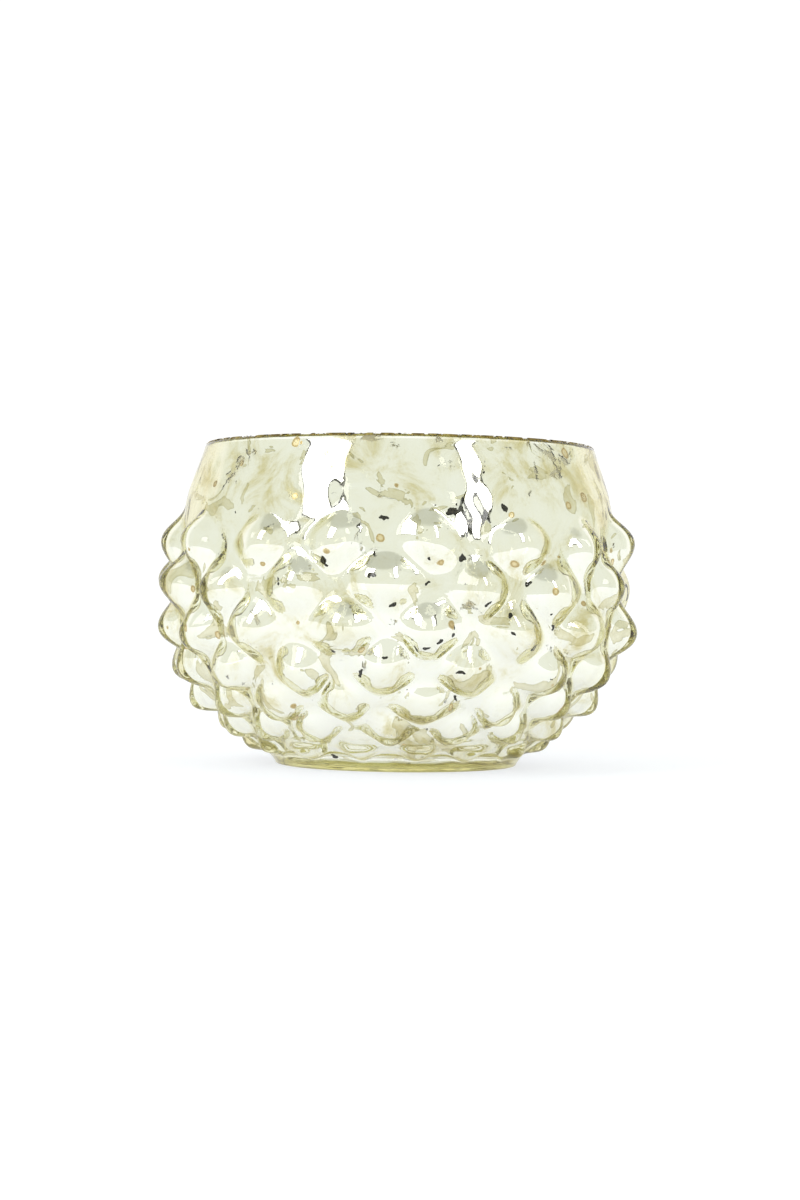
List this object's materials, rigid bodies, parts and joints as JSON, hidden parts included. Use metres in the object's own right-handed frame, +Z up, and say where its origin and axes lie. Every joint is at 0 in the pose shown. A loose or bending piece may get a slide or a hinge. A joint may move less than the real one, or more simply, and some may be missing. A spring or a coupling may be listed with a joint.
{
  "type": "tealight holder",
  "caption": "Squat round tealight holder of silvered moulded glass, covered in staggered pointed bumps under a plain band, open at the top, with antique silver and tan lacquer inside.",
  "frame": {"origin": "centre of the foot, on the plane the holder stands on", "axes": "+Z up along the bowl's axis; the side shown in the reference view faces -Y"},
  "size_m": [0.0899, 0.0908, 0.0589],
  "materials": {
    "clear_glass": "moulded glass, fire-polished, faint yellow-green tint",
    "mirror_silver": "antiqued silver mirror with pin-holes and worn patches",
    "tan_lacquer": "semi-gloss protective lacquer, mottled",
    "gilding": "worn antique gilding"
  },
  "bodies": {
    "root": {"glass_bowl": "clear_glass", "silver_lining": "mirror_silver", "backing_lacquer": "tan_lacquer", "lip_gilding": "gilding"}
  },
  "joints": []
}
